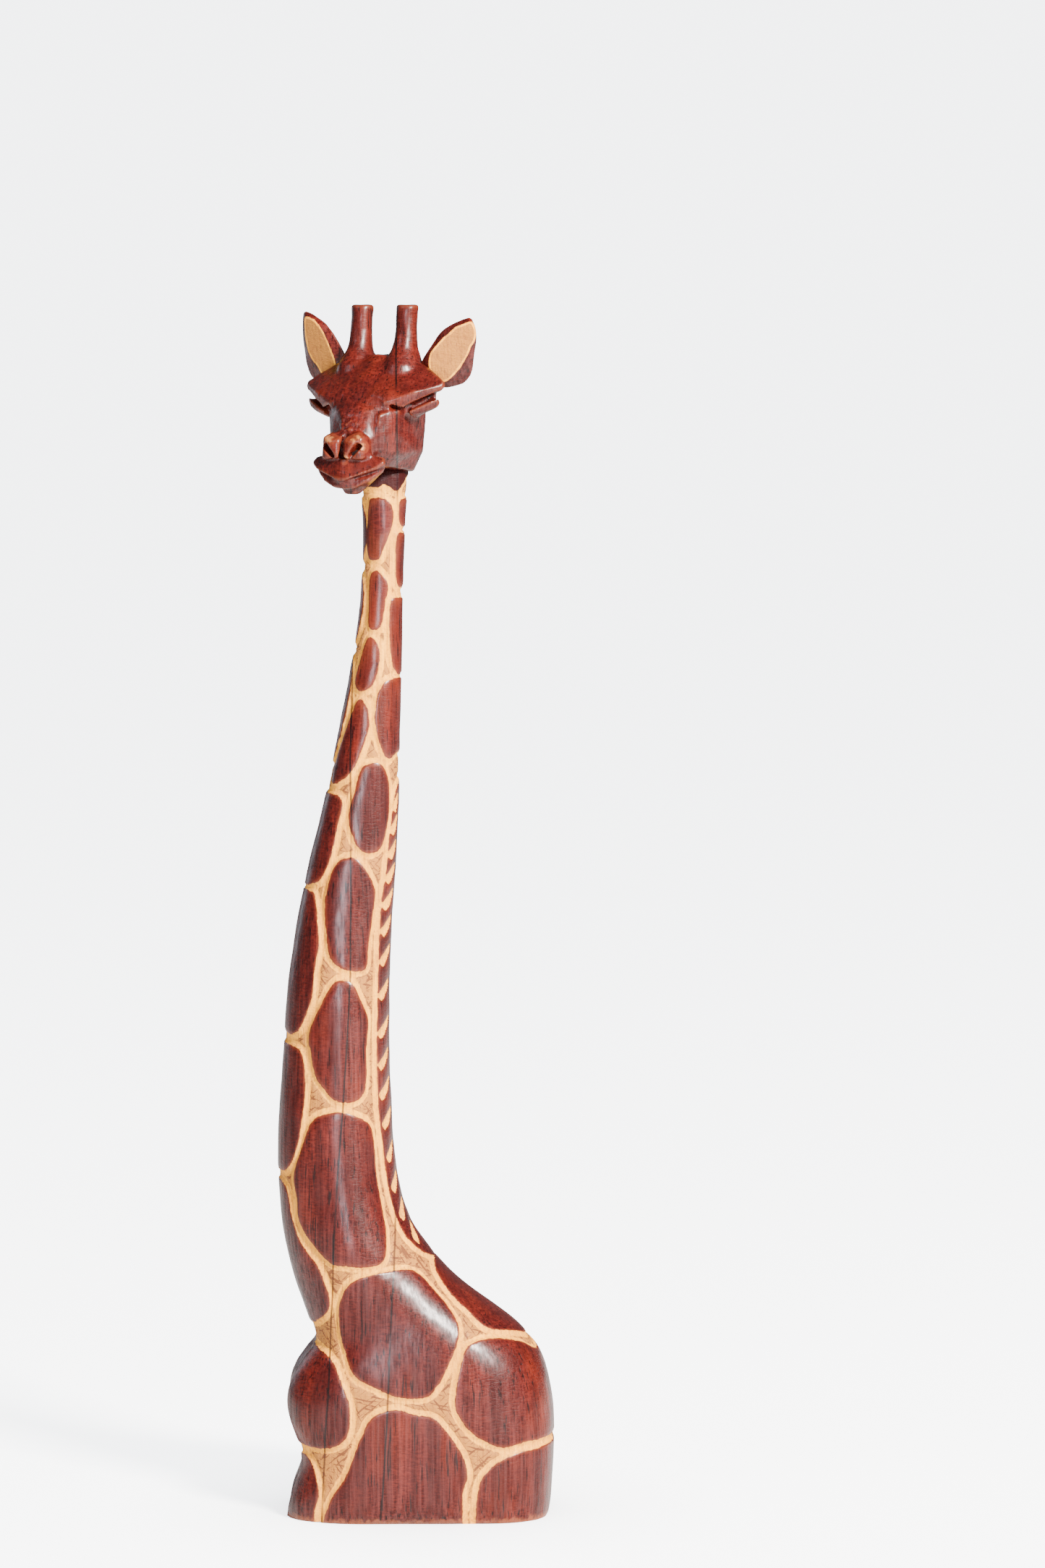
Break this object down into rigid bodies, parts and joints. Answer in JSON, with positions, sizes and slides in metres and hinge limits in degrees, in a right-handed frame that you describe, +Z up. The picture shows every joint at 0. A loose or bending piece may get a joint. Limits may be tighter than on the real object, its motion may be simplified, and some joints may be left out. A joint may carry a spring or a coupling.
{
  "type": "carved giraffe statue",
  "caption": "Seated carved wooden giraffe, 0.30 m tall: carved body and neck, turned head with horns on a hidden dowel, and two leaf ears on tenons.",
  "frame": {"origin": "centre of the flat base, on the plane that the statue rests on", "axes": "+Z up along the neck, +X towards the rump, -X towards the chest, and the giraffe's left flank faces -Y"},
  "size_m": [0.0685, 0.0443, 0.3035],
  "materials": {
    "stained_wood": "gloss",
    "pale_wood": "satin"
  },
  "bodies": {
    "root": {"carved_body": "stained_wood", "head": "stained_wood", "neck_dowel": "pale_wood", "ear_left": "pale_wood", "ear_right": "pale_wood"}
  },
  "joints": []
}
